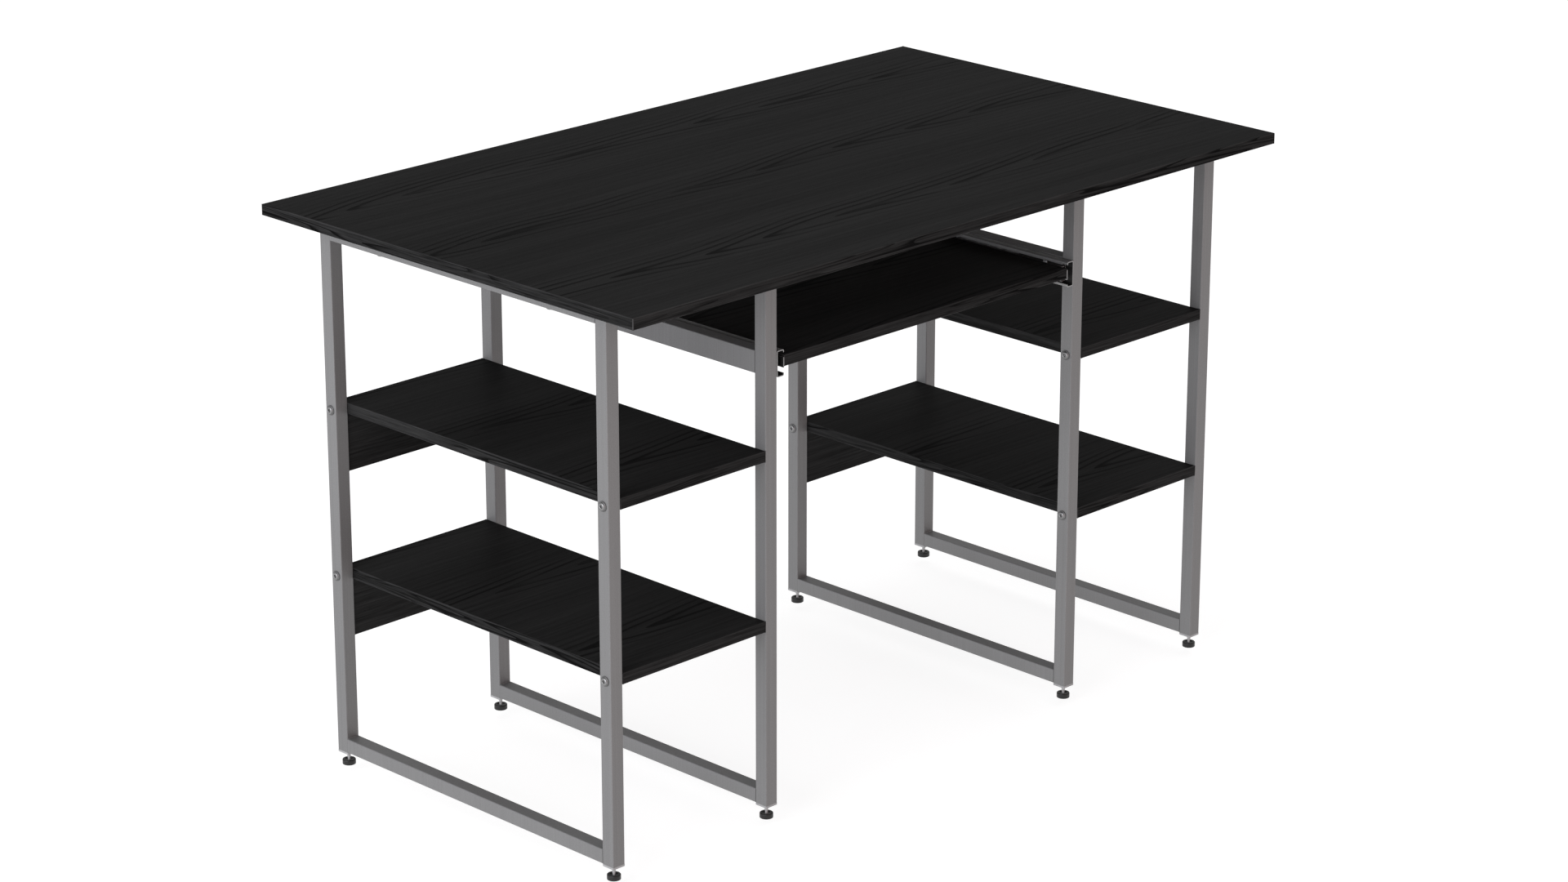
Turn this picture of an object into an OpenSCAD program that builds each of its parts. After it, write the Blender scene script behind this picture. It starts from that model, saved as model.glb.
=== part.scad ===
// Computer desk with two open shelf pedestals and a pull-out keyboard tray.
// Origin on the floor, under the middle of the tabletop.
// +X is the sitter's right, -Y is the sitter's side, +Z is up. Millimetres.

/* [Tabletop] */
// Width of the tabletop, left to right
top_w = 1200; // [1160:10:1400]
// Depth of the tabletop, front to back
top_d = 700; // [560:10:800]
// Thickness of the tabletop, the shelves, the panels and the tray
board_t = 15; // [14:1:16]

/* [Leg frames] */
// Depth of a leg frame, over its posts
frame_d = 540; // [520:10:560]
// Height of a leg frame, without its end caps
frame_h = 731; // [700:1:760]
// Tabletop overhang past the outer leg frames
side_overhang = 30; // [20:1:50]
// Outside size of the square tube
tube_w = 20; // [20:1:22]
// Wall thickness of the tubes
tube_wall = 1.5; // [1.2:0.1:1.5]
// Outside corner radius of the tubes
tube_r = 1.5; // [1:0.1:2]

/* [Shelves] */
// Clear width of a shelf bay, between its two leg frames
bay_w = 250; // [220:5:260]
// Height of the lower shelf's middle above the foot of the frame
lower_shelf_h = 250; // [200:5:300]
// Height of the upper shelf's middle above the foot of the frame
upper_shelf_h = 480; // [420:5:500]
// Height of the back panel under each shelf
panel_h = 80; // [60:5:100]

/* [Keyboard tray] */
// Depth of the tray, and length of its slides
tray_d = 350; // [300:10:400]
// Depth of the tray rail's middle below the tabletop
tray_rail_drop = 130; // [110:5:150]
// Height of the tray rail
tray_rail_h = 30; // [30:1:40]
// Height of the tray's middle above the slides' middle
tray_lift = 2; // [0:0.5:3]
// Depth of the slides' middle below the tray rail's middle
slide_drop = 3.5; // [0:0.5:5]

/* [Levelling feet] */
// Height of the foot pad
pad_h = 7; // [6:0.5:9]
// Diameter of the foot pad
pad_dia = 18; // [16:1:20]
// Bare stem between the pad and the end cap
stem_gap = 10.5; // [10.5:0.5:14]

/* [Hidden] */
$fn = 48;
SIDES = ["left", "right"];
FRAMES = ["left_outer", "left_inner", "right_inner", "right_outer"];
ENDS = ["front", "rear"];
LEVELS = ["lower", "upper"];

// Colours
WOOD = [0.045, 0.045, 0.047];
PAINT = [0.52, 0.52, 0.53];
CAP_GREY = [0.66, 0.66, 0.67];
PAD_BLACK = [0.03, 0.03, 0.03];
ZINC = [0.70, 0.70, 0.71];
BEECH = [0.76, 0.62, 0.44];

// Leg frames
eps = 1;
cap_flange_t = 3;
cap_plug_h = 14;
cap_plug_gap = 0.05;
cap_corner_r = 0.8;
frame_z = pad_h + stem_gap + cap_flange_t;
frame_top = frame_z + frame_h;
rail_len = frame_d - 2 * tube_w;
end_y = frame_d / 2 - tube_w / 2;
outer_x = top_w / 2 - side_overhang - tube_w / 2;
inner_x = outer_x - bay_w - tube_w;
frame_x = [-outer_x, -inner_x, inner_x, outer_x];
post_y = [-end_y, end_y];

// Shelves and panels
bay_x = [-(outer_x + inner_x) / 2, (outer_x + inner_x) / 2];
shelf_z = [frame_z + lower_shelf_h, frame_z + upper_shelf_h];
dowel_dia = 8;
dowel_len = 24;
dowel_gap = 0.1;
dowel_x = 80;

// Flanged button-head screws, M6
m6_shank = 5.9;
m6_clear = 6.4;
m6_pilot = 6;
m6_flange_dia = 13.6;
m6_flange_t = 1;
m6_head_h = 3.3;
m6_dome_dia = 10.5;
m6_socket = 4;
m6_socket_depth = 2;
shelf_screw_len = 45;
top_screw_len = 32;
top_screw_y = [-160, 160];

// Levelling feet
stem_dia = 5.9;
stem_bore = 6;
stem_top = frame_z + 24.5;
stem_neck_dia = 3.4;
stem_cone_low = pad_h + 1.5;
stem_cone_high = pad_h + 8;
stem_disc_dia = 8;
stem_disc_z = 2;
stem_disc_t = 1.5;
pad_chamfer = 1;
pad_dish_dia = 11;
pad_dish_depth = 1.2;
pad_fit = 0.05;

// Tray rails, tray and slides. A slide's section runs from u = 0 at the rail
// to slide_t at the tray, and v is the height from the slide's middle.
tray_rail_z = frame_top - tray_rail_drop;
slide_z = tray_rail_z - slide_drop;
tray_z = slide_z + tray_lift;
slide_t = 12.7;
slide_h = 35;
sheet_t = 1.2;
slide_face_x = inner_x - tube_w / 2;
slide_front = -frame_d / 2;
tray_w = 2 * (slide_face_x - slide_t);
outer_lip_in = 12.2;
outer_lip_h = 3.9;
middle_u = [2.2, 9.6];
middle_h = 25.2;
middle_setback = 12;
inner_u = 5;
inner_h = 17;
inner_setback = 12;
cage_t = 0.5;
cage_len = 160;
cage_start = (tray_d - cage_len) / 2;
ball_count = 8;
ball_inset = 10;
ball_gap = 0.2;
cage_hole_gap = 0.15;
outer_cage_u = [1.45, 9];
inner_cage_u = [3.75, 9];
outer_ball_u = 6.2;
inner_ball_u = 7.3;
outer_ball_v = ((slide_h / 2 - sheet_t) + middle_h / 2) / 2;
inner_ball_v = ((middle_h / 2 - sheet_t) + inner_h / 2) / 2;
outer_ball_dia = (slide_h / 2 - sheet_t) - middle_h / 2 - 2 * ball_gap;
inner_ball_dia = (middle_h / 2 - sheet_t) - inner_h / 2 - 2 * ball_gap;

// Slide and tray screws, M4 countersunk and 3.5 mm pan-head
m4_shank = 3.9;
m4_head = m4_shank + 2 * sheet_t;
m4_len = 8;
m4_gap = 0.1;
slide_screw_y = [30, 175, 320];
pan_shank = 3.5;
pan_head_dia = 7;
pan_head_h = 2;
pan_len = 16;
tray_screw_y = [50, 175, 300];
stop_tab_y = 36;
stop_tab_len = 7;
stop_tab_h = 3.5;

// A rectangle with rounded corners, centred, made of straight sides and arcs
module rounded_rect(w, d, r) {
    square([w - 2 * r, d], center = true);
    square([w, d - 2 * r], center = true);
    for (x = [-1, 1], y = [-1, 1]) {
        translate([x * (w / 2 - r), y * (d / 2 - r)])
            circle(r = r);
    }
}

// The section of a tube
module tube_section(w, d) {
    difference() {
        rounded_rect(w, d, tube_r);
        square([w - 2 * tube_wall, d - 2 * tube_wall], center = true);
    }
}

// A tube that runs front to back, centred on the origin
module rail_tube(w, h, length) {
    rotate([90, 0, 0])
        linear_extrude(length, center = true)
            tube_section(w, h);
}

// A pedestal's outward direction: -1 on its left leg frame, 1 on its right one
function out_dir(f) = f % 2 == 0 ? -1 : 1;

// A drilled post, from its foot to the tabletop
module post(f, e) {
    color(PAINT)
        translate([frame_x[f], post_y[e], frame_z])
            difference() {
                linear_extrude(frame_h)
                    tube_section(tube_w, tube_w);
                for (h = [lower_shelf_h, upper_shelf_h]) {
                    translate([0, 0, h])
                        rotate([0, 90, 0])
                            cylinder(h = tube_w + 2 * eps, d = m6_clear, center = true);
                }
            }
}

// The rail under the tabletop, with its two screw holes
module top_rail(f) {
    color(PAINT)
        translate([frame_x[f], 0, frame_top - tube_w / 2])
            difference() {
                rail_tube(tube_w, tube_w, rail_len);
                for (y = top_screw_y) {
                    translate([0, y, 0])
                        cylinder(h = tube_w + 2 * eps, d = m6_clear, center = true);
                }
            }
}

// The rail near the floor
module bottom_rail(f) {
    color(PAINT)
        translate([frame_x[f], 0, frame_z + tube_w / 2])
            rail_tube(tube_w, tube_w, rail_len);
}

// The taller rail that carries a tray slide, tapped on the tray's side
module tray_rail(s) {
    out = s == 0 ? -1 : 1;
    color(PAINT)
        difference() {
            translate([out * inner_x, 0, tray_rail_z])
                rail_tube(tube_w, tray_rail_h, rail_len);
            for (y = slide_screw_y) {
                translate([out * slide_face_x, slide_front + y, slide_z])
                    rotate([0, 90, 0])
                        cylinder(h = 2 * tube_wall + eps, d = m4_shank + m4_gap, center = true);
            }
        }
}

// A flanged button head below z = 0, domed, with a hexagon socket
module m6_head() {
    dome_rise = m6_head_h - m6_flange_t;
    dome_r = (pow(m6_dome_dia / 2, 2) + pow(dome_rise, 2)) / (2 * dome_rise);
    mirror([0, 0, 1])
        difference() {
            union() {
                cylinder(h = m6_flange_t, d = m6_flange_dia);
                intersection() {
                    cylinder(h = m6_head_h, d = m6_dome_dia);
                    translate([0, 0, m6_head_h - dome_r])
                        sphere(r = dome_r);
                }
            }
            translate([0, 0, m6_head_h - m6_socket_depth])
                cylinder(h = m6_socket_depth + eps, d = m6_socket / cos(30), $fn = 6);
        }
}

// A flanged button-head screw along +Z, its head below z = 0
module m6_screw(length) {
    cylinder(h = length, d = m6_shank);
    m6_head();
}

// Places its children at each shelf screw, +Z pointing into the shelf
module at_shelf_screws(f, l) {
    for (e = [0, 1]) {
        translate([frame_x[f] + out_dir(f) * tube_w / 2, post_y[e], shelf_z[l]])
            rotate([0, -90 * out_dir(f), 0])
                children();
    }
}

// All sixteen screws that hold the shelves
module shelf_screws() {
    color(ZINC)
        for (f = [0 : 3], l = [0, 1]) {
            at_shelf_screws(f, l)
                m6_screw(shelf_screw_len);
        }
}

// The eight screws that come up through the top rails
module tabletop_screws() {
    color(ZINC)
        for (x = frame_x, y = top_screw_y) {
            translate([x, y, frame_top - tube_w])
                m6_screw(top_screw_len);
        }
}

// The laminated top, drilled from below
module tabletop() {
    color(WOOD)
        difference() {
            translate([-top_w / 2, -top_d / 2, frame_top])
                cube([top_w, top_d, board_t]);
            for (x = frame_x, y = top_screw_y) {
                translate([x, y, frame_top - eps])
                    cylinder(h = top_screw_len - tube_w + 2 * eps, d = m6_pilot);
            }
        }
}

// Places its children at the two dowels of a back panel
module at_dowels(s, l) {
    for (x = [-dowel_x, dowel_x]) {
        translate([bay_x[s] + x, end_y, shelf_z[l] - board_t / 2])
            children();
    }
}

// A shelf between two leg frames, drilled for its screws and dowels
module shelf(s, l) {
    color(WOOD)
        difference() {
            translate([bay_x[s], 0, shelf_z[l]])
                cube([bay_w, frame_d, board_t], center = true);
            for (f = [2 * s, 2 * s + 1]) {
                at_shelf_screws(f, l)
                    cylinder(h = shelf_screw_len + eps, d = m6_pilot);
            }
            at_dowels(s, l)
                cylinder(h = dowel_len + 2 * dowel_gap, d = dowel_dia + 2 * dowel_gap, center = true);
        }
}

// The upright panel under the back of a shelf
module back_panel(s, l) {
    color(WOOD)
        difference() {
            translate([bay_x[s], end_y, shelf_z[l] - board_t / 2 - panel_h / 2])
                cube([bay_w, board_t, panel_h], center = true);
            at_dowels(s, l)
                cylinder(h = dowel_len + 2 * dowel_gap, d = dowel_dia + 2 * dowel_gap, center = true);
        }
}

// The dowels between the shelves and the back panels
module panel_dowels() {
    color(BEECH)
        for (s = [0, 1], l = [0, 1]) {
            at_dowels(s, l)
                cylinder(h = dowel_len, d = dowel_dia, center = true);
        }
}

// The plastic plugs in the posts' feet, each bored for a foot's stem
module post_end_caps() {
    plug_w = tube_w - 2 * tube_wall - 2 * cap_plug_gap;
    color(CAP_GREY)
        for (x = frame_x, y = post_y) {
            translate([x, y, frame_z])
                difference() {
                    union() {
                        translate([0, 0, -cap_flange_t])
                            linear_extrude(cap_flange_t)
                                rounded_rect(tube_w, tube_w, cap_corner_r);
                        translate([-plug_w / 2, -plug_w / 2, 0])
                            cube([plug_w, plug_w, cap_plug_h]);
                    }
                    translate([0, 0, -cap_flange_t - eps])
                        cylinder(h = cap_flange_t + cap_plug_h + 2 * eps, d = stem_bore);
                }
        }
}

// A foot's stem, necked down to the disc that the pad is moulded round
module foot_stem(f, e) {
    color(ZINC)
        translate([frame_x[f], post_y[e], 0])
            rotate_extrude()
                polygon([
                    [0, stem_disc_z], [stem_disc_dia / 2, stem_disc_z],
                    [stem_disc_dia / 2, stem_disc_z + stem_disc_t],
                    [stem_neck_dia / 2, stem_disc_z + stem_disc_t],
                    [stem_neck_dia / 2, stem_cone_low], [stem_dia / 2, stem_cone_high],
                    [stem_dia / 2, stem_top], [0, stem_top]
                ]);
}

// A foot's pad, dished round the stem
module foot_pad(f, e) {
    r = pad_dia / 2;
    disc_r = stem_disc_dia / 2 + pad_fit;
    disc_top = stem_disc_z + stem_disc_t + pad_fit;
    neck_r = stem_neck_dia / 2 + pad_fit;
    dish_z = pad_h - pad_dish_depth;
    color(PAD_BLACK)
        translate([frame_x[f], post_y[e], 0])
            rotate_extrude()
                polygon([
                    [0, 0], [r - pad_chamfer, 0], [r, pad_chamfer], [r, pad_h - pad_chamfer],
                    [r - pad_chamfer, pad_h], [pad_dish_dia / 2, pad_h],
                    [pad_dish_dia / 2 - pad_dish_depth, dish_z], [neck_r, dish_z],
                    [neck_r, disc_top], [disc_r, disc_top],
                    [disc_r, stem_disc_z - pad_fit], [0, stem_disc_z - pad_fit]
                ]);
}

// Extrudes a slide's section over a length from the front, on one side
module slide_part(s, start, length) {
    translate([s == 0 ? -slide_face_x : slide_face_x, slide_front + start, slide_z])
        mirror([s == 0 ? 0 : 1, 0, 0])
            rotate([-90, 0, 0])
                linear_extrude(length)
                    children();
}

// Places its children at a point of a slide, +X pointing to the tray
module slide_point(s, u, y, v) {
    translate([s == 0 ? -slide_face_x : slide_face_x, slide_front + y, slide_z])
        mirror([s == 0 ? 0 : 1, 0, 0])
            translate([u, 0, v])
                children();
}

// A channel section, open towards the tray
module channel(from, to, h, t) {
    difference() {
        translate([from, -h / 2])
            square([to - from, h]);
        translate([from + t, -h / 2 + t])
            square([to - from, h - 2 * t]);
    }
}

// The slide member on the rail, with its lips turned in
module slide_outer(s) {
    color(ZINC)
        difference() {
            slide_part(s, 0, tray_d) {
                channel(0, outer_lip_in, slide_h, sheet_t);
                for (v = [-1, 1]) {
                    translate([outer_lip_in - sheet_t / 2, v * (slide_h / 2 - outer_lip_h / 2)])
                        square([sheet_t, outer_lip_h], center = true);
                }
            }
            for (y = slide_screw_y) {
                slide_point(s, 0, y, 0)
                    rotate([0, 90, 0])
                        cylinder(h = sheet_t, d1 = m4_shank + m4_gap, d2 = m4_head + m4_gap);
            }
        }
}

// The member between the other two, which moves half as far as the tray
module slide_middle(s) {
    color(ZINC)
        slide_part(s, middle_setback, tray_d - 2 * middle_setback)
            channel(middle_u[0], middle_u[1], middle_h, sheet_t);
}

// The member on the tray's edge, open towards the rail, with its stop tab. Its
// front end is flat, without the flanges that the balls run on.
module slide_inner(s) {
    color(ZINC)
        difference() {
            union() {
                slide_part(s, 0, inner_setback)
                    translate([slide_t - sheet_t, -inner_h / 2])
                        square([sheet_t, inner_h]);
                slide_part(s, inner_setback, tray_d - inner_setback)
                    difference() {
                        translate([inner_u, -inner_h / 2])
                            square([slide_t - inner_u, inner_h]);
                        translate([inner_u - sheet_t, -inner_h / 2 + sheet_t])
                            square([slide_t - inner_u, inner_h - 2 * sheet_t]);
                    }
                slide_point(s, slide_t - sheet_t, stop_tab_y, inner_h / 2 - sheet_t)
                    cube([sheet_t, stop_tab_len, sheet_t + stop_tab_h]);
            }
            for (y = tray_screw_y) {
                slide_point(s, slide_t - sheet_t / 2, y, 0)
                    rotate([0, 90, 0])
                        cylinder(h = 2 * sheet_t, d = pan_shank + m4_gap, center = true);
            }
        }
}

// A ball cage: a bent strip and the two rows of balls that it carries
module ball_cage(s, u, v, ball_u, ball_dia) {
    pitch = (cage_len - 2 * ball_inset) / (ball_count - 1);
    hole_dia = ball_dia + 2 * cage_hole_gap;
    color(ZINC) {
        difference() {
            slide_part(s, cage_start, cage_len)
                channel(u[0], u[1], 2 * v + cage_t, cage_t);
            for (i = [0 : ball_count - 1]) {
                slide_point(s, ball_u, cage_start + ball_inset + i * pitch, 0)
                    cylinder(h = 2 * v + 2 * cage_t + eps, d = hole_dia, center = true);
            }
        }
        for (i = [0 : ball_count - 1], side = [-1, 1]) {
            slide_point(s, ball_u, cage_start + ball_inset + i * pitch, side * v)
                sphere(d = ball_dia);
        }
    }
}

// The countersunk screws that hold the slides to the rails
module slide_screws() {
    color(ZINC)
        for (s = [0, 1], y = slide_screw_y) {
            slide_point(s, 0, y, 0) {
                rotate([0, 90, 0])
                    cylinder(h = sheet_t, d1 = m4_shank, d2 = m4_head);
                rotate([0, -90, 0])
                    cylinder(h = m4_len - sheet_t, d = m4_shank);
            }
        }
}

// The pan-head screws that hold the tray to the slides
module tray_screws() {
    color(ZINC)
        for (s = [0, 1], y = tray_screw_y) {
            slide_point(s, slide_t - sheet_t, y, 0) {
                rotate([0, 90, 0])
                    cylinder(h = pan_len, d = pan_shank - m4_gap);
                rotate([0, -90, 0])
                    cylinder(h = pan_head_h, d1 = pan_head_dia, d2 = pan_head_dia - 1.5);
            }
        }
}

// The laminated tray, drilled in its side edges
module keyboard_tray() {
    color(WOOD)
        difference() {
            translate([-tray_w / 2, slide_front, tray_z - board_t / 2])
                cube([tray_w, tray_d, board_t]);
            for (s = [0, 1], y = tray_screw_y) {
                slide_point(s, slide_t - eps, y, 0)
                    rotate([0, 90, 0])
                        cylinder(h = pan_len + eps, d = pan_shank);
            }
        }
}

tabletop();
for (f = [0 : 3]) {
    for (e = [0, 1]) {
        post(f, e);
        foot_stem(f, e);
        foot_pad(f, e);
    }
    top_rail(f);
    bottom_rail(f);
}
for (s = [0, 1]) {
    for (l = [0, 1]) {
        shelf(s, l);
        back_panel(s, l);
    }
    tray_rail(s);
    slide_outer(s);
    slide_middle(s);
    slide_inner(s);
    ball_cage(s, outer_cage_u, outer_ball_v, outer_ball_u, outer_ball_dia);
    ball_cage(s, inner_cage_u, inner_ball_v, inner_ball_u, inner_ball_dia);
}
post_end_caps();
keyboard_tray();
shelf_screws();
tabletop_screws();
slide_screws();
tray_screws();
panel_dowels();
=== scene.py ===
"""The look of a computer desk: boards in black woodgrain laminate on silver-grey tube frames.

Metres, in the CAD frame: at rest the pads' undersides are at z = 0, +X is the sitter's right and
-Y is the sitter's side. Most CAD nodes are replaced by finer pieces: the posts, the rails, the ball
cages, the slides' own screws and the dowels keep their CAD shapes and get materials.
"""

import math

import bmesh
import bpy
from mathutils import Matrix, Vector


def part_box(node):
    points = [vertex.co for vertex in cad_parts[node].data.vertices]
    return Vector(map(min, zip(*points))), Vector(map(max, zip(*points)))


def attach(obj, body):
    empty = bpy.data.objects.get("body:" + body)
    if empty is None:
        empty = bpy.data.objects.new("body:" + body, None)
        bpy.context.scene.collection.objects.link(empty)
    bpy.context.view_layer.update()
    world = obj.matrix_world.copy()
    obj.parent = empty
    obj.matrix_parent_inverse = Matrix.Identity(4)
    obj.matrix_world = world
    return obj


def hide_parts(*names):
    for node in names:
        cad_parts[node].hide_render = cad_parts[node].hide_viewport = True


MM = 0.001
TINY = 1e-6

SIDES = ["left", "right"]
LEVELS = ["lower", "upper"]
FRAMES = ["left_outer", "left_inner", "right_inner", "right_outer"]
ENDS = ["front", "rear"]

# Boards: a laminated core with a plastic band round its edges. The bands' materials are two for their
# faces, two for their arrises in the same order, and one for the corners. The arrises and corners are
# lighter than the faces: painted highlights for the light that rounded edges catch.
BAND_T = 1.5 * MM
BAND_ARRIS = 1.1 * MM
CORE_ARRIS = 0.12 * MM
ARRIS_HIGHLIGHT_SLOT = 2
CORNER_HIGHLIGHT_SLOT = 4

# Weld beads between the rails and the posts
BEAD_R = 1.5 * MM
BEAD_RIPPLE = 0.14
BEAD_PITCH = 1.3 * MM
BEAD_INSET = 1.6 * MM

# Levelling feet: M6 stems in moulded pads
THREAD_PITCH = 1.0 * MM
THREAD_DEPTH = 0.45 * MM

# Flanged button-head screws, M6, with a hexagon socket. Their flange has its own, darker material:
# painted shade for the dark ring round each head.
SHELF_SCREW_L = 45 * MM
SCREW_SHANK_R = 2.95 * MM
SCREW_FLANGE_R = 6.8 * MM
SCREW_FLANGE_T = 1.0 * MM
SCREW_DOME_R = 5.25 * MM
SCREW_HEAD_H = 3.3 * MM
SCREW_SOCKET_R = 2.0 * MM
SCREW_SOCKET_DEPTH = 2.0 * MM
FLANGE_SHADE_SLOT = 1

# Slides: channels of bent sheet. The holes, and the tab that stops the tray, are at distances from the
# tray's front. Sheet has one material outside, one where it is cut and one inside its channel; the one
# inside is near black, painted shade.
SHEET_T = 1.2 * MM
SHEET_BEND_R = 1.0 * MM
LIP_H = 3.9 * MM
RAIL_HOLES = (30 * MM, 175 * MM, 320 * MM)
TRAY_HOLES = (50 * MM, 175 * MM, 300 * MM)
FLAT_END = 12 * MM
STOP_TAB = (36 * MM, 43 * MM)
RAIL_HOLE_R = 2.9 * MM
TRAY_HOLE_R = 1.8 * MM
PLATE_ARRIS = 0.15 * MM
# The cut faces' steel is lighter: partly bare cut steel, partly a painted highlight.
CUT_AND_HIGHLIGHT_SLOT = 1
CHANNEL_SHADE_SLOT = 2

# Where the camera stands, for a 100 mm lens on a 36 mm sensor
CAMERA_AT = (-3.944, -3.948, 2.305)
CAMERA_LOOKS = (0.6684, 0.6687, -0.3257)
CAMERA_LENS = 100
CAMERA_SENSOR = 36

# Paint and laminate: how much light they send back, on average
PAINT_LEVEL = 0.18
WOOD_LEVEL = 0.0152
# The tray and the back panels lie in shade under the top and the shelves. Their woodgrain is a lighter
# copy of the same laminate: painted light that lifts that shade.
SHADE_LIFTED_WOOD_LEVEL = 0.0190
BAND_LEVEL = 0.0164
# Painted highlights: the bands' rounded arrises are lighter, and the top's corners lighter still.
ARRIS_HIGHLIGHT_LEVEL = 0.028
CORNER_HIGHLIGHT_LEVEL = 0.06

# Woodgrain: the rows of arches, how many rings each metre has along and across them, and which part
# of each ring is dark. The arches fade out at two distances above and below the middle of a row.
FIGURE_PITCH = 0.228
FIGURE_SHIFT = 0.06
FIGURE_WANDER = 0.05
RINGS_ALONG = 6.0
RINGS_ACROSS = 80.0
HILL_RINGS = 6.0
ARCH_TIP_R = 0.006
DARK_PART = (0.12, 0.42)
FADE_ABOVE = (0.018, 0.055)
FADE_BELOW = (-0.035, -0.008)
FAINT = 0.12

# Radiance of the room, of the floor's glow and of each soft light, and the colour of its light. The
# floor lies just under the pads of feet that are screwed right out, so that it never hides them.
ROOM_LIGHT = 0.59
FLOOR_GLOW = 0.80
FLOOR_COLOUR = (0.4, 0.4, 0.4)
FLOOR_Z = -10.1 * MM
FLOOR_SIZE = 60.0
LIGHTS = {
    "left_softbox": {"at": (-12.0, 0.0, 3.1), "aim": (0, 0, 3.1), "size": (12.0, 6.0),
                     "radiance": 4.5, "colour": (0.985, 0.985, 1.05)},
    "high_left_softbox": {"at": (-8.0, -1.0, 6.5), "aim": (0, 0, 0.5), "size": (5.0, 5.0),
                          "radiance": 1.5, "colour": (1.0, 1.0, 1.0)},
    "front_softbox": {"at": (0, -9.0, 2.6), "aim": (0, 0, 2.6), "size": (9.0, 5.0),
                      "radiance": 0.6, "colour": (1.0, 0.3, 0.25)},
}


# ---------------------------------------------------------------- materials


class Graph:
    """A material's nodes, with short calls for the few kinds that are used here."""

    def __init__(self, name, roughness, metallic=0.0, specular=0.5):
        self.material = bpy.data.materials.new(name)
        self.material.use_nodes = True
        self.nodes = self.material.node_tree.nodes
        self.links = self.material.node_tree.links
        self.shader = self.nodes["Principled BSDF"]
        self.set(self.shader, "Roughness", roughness)
        self.set(self.shader, "Metallic", metallic)
        self.set(self.shader, "Specular IOR Level", specular)
        self.place = self.nodes.new("ShaderNodeTexCoord").outputs["Object"]

    def set(self, node, socket, value):
        """Sets a socket to a number, or links it to another node's output."""
        if isinstance(value, bpy.types.NodeSocket):
            self.links.new(value, node.inputs[socket])
        else:
            node.inputs[socket].default_value = value

    def noise(self, scale, detail=2.0, roughness=0.5, distortion=0.0, shift=(0, 0, 0)):
        """Noise with a frequency, per metre, for each axis."""
        mapping = self.nodes.new("ShaderNodeMapping")
        self.set(mapping, "Vector", self.place)
        self.set(mapping, "Scale", scale)
        self.set(mapping, "Location", shift)
        node = self.nodes.new("ShaderNodeTexNoise")
        self.set(node, "Vector", mapping.outputs["Vector"])
        self.set(node, "Scale", 1.0)
        self.set(node, "Detail", detail)
        self.set(node, "Roughness", roughness)
        self.set(node, "Distortion", distortion)
        return node.outputs["Fac"]

    def row_noise(self, run, row, frequency, row_step, shift):
        """Noise along the grain that is different in each row."""
        combine = self.nodes.new("ShaderNodeCombineXYZ")
        self.set(combine, 0, self.math("MULTIPLY", run, frequency))
        self.set(combine, 1, self.math("MULTIPLY_ADD", row, row_step, shift))
        node = self.nodes.new("ShaderNodeTexNoise")
        self.set(node, "Vector", combine.outputs["Vector"])
        self.set(node, "Scale", 1.0)
        self.set(node, "Detail", 1.5)
        return node.outputs["Fac"]

    def math(self, operation, a, b=0.0, c=0.0):
        node = self.nodes.new("ShaderNodeMath")
        node.operation = operation
        for i, value in enumerate((a, b, c)):
            self.set(node, i, value)
        return node.outputs["Value"]

    def spread(self, value, low, high, to_low=0.0, to_high=1.0):
        """Maps low..high to to_low..to_high, smoothly, and holds the ends."""
        node = self.nodes.new("ShaderNodeMapRange")
        node.interpolation_type = "SMOOTHSTEP"
        self.set(node, "Value", value)
        self.set(node, "From Min", low)
        self.set(node, "From Max", high)
        self.set(node, "To Min", to_low)
        self.set(node, "To Max", to_high)
        return node.outputs["Result"]

    def mix(self, parts, contrast=1.0):
        """Half, plus each (value, weight, middle) part's weight times its way from the middle."""
        total = 0.5
        for value, weight, middle in parts:
            weight *= contrast
            total = self.math("ADD", total, self.math("MULTIPLY_ADD", value, weight, -weight * middle))
        return total

    def ramp(self, value, stops):
        """A colour for each value, from a list of (position, colour)."""
        node = self.nodes.new("ShaderNodeValToRGB")
        elements = node.color_ramp.elements
        while len(elements) < len(stops):
            elements.new(0.5)
        for element, (position, colour) in zip(elements, stops):
            element.position = position
            element.color = (*colour, 1.0)
        self.set(node, "Fac", value)
        return node.outputs["Color"]

    def bump(self, height, distance, strength=1.0):
        node = self.nodes.new("ShaderNodeBump")
        self.set(node, "Height", height)
        self.set(node, "Distance", distance)
        self.set(node, "Strength", strength)
        self.set(self.shader, "Normal", node.outputs["Normal"])

    def colour(self, value):
        self.set(self.shader, "Base Color", value)

    def roughness(self, value):
        self.set(self.shader, "Roughness", value)


def grey(level, tint=(1.0, 1.0, 1.0)):
    return tuple(level * t for t in tint)


def along(axis, length_scale, cross_scale):
    """Frequencies for a streak that runs along an axis."""
    return tuple(length_scale if i == axis else cross_scale for i in range(3))


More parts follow.
